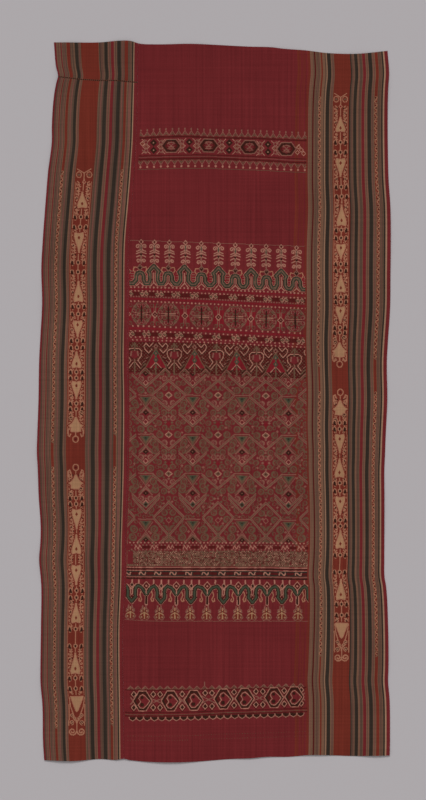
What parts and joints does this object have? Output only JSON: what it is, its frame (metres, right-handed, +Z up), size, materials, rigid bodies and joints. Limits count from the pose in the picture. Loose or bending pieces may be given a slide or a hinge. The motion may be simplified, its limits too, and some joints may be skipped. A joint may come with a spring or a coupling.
{
  "type": "pua cloth",
  "caption": "Long flat woven cotton cloth of a broad and a narrow length sewn edge to edge, with a short pieced head, striped borders and a banded red field; edges lift in soft ripples.",
  "frame": {"origin": "on the surface that the cloth lies on, under the middle of its box", "axes": "+Y along the cloth to its head end, +X across it to the red selvedge of the broad length, +Z up out of the patterned face"},
  "size_m": [1.008, 2.0552, 0.007],
  "materials": {
    "broad_length": "matt handspun cotton, red field with bands of wrapped weft, striped border",
    "narrow_length": "matt handspun cotton in warp stripes of tan, dark green, orange-red and crimson",
    "sewing_thread": "matt cotton sewing thread of the seams"
  },
  "bodies": {
    "root": {"main_panel": "broad_length", "side_panel": "narrow_length", "side_panel_head": "narrow_length"}
  },
  "joints": []
}
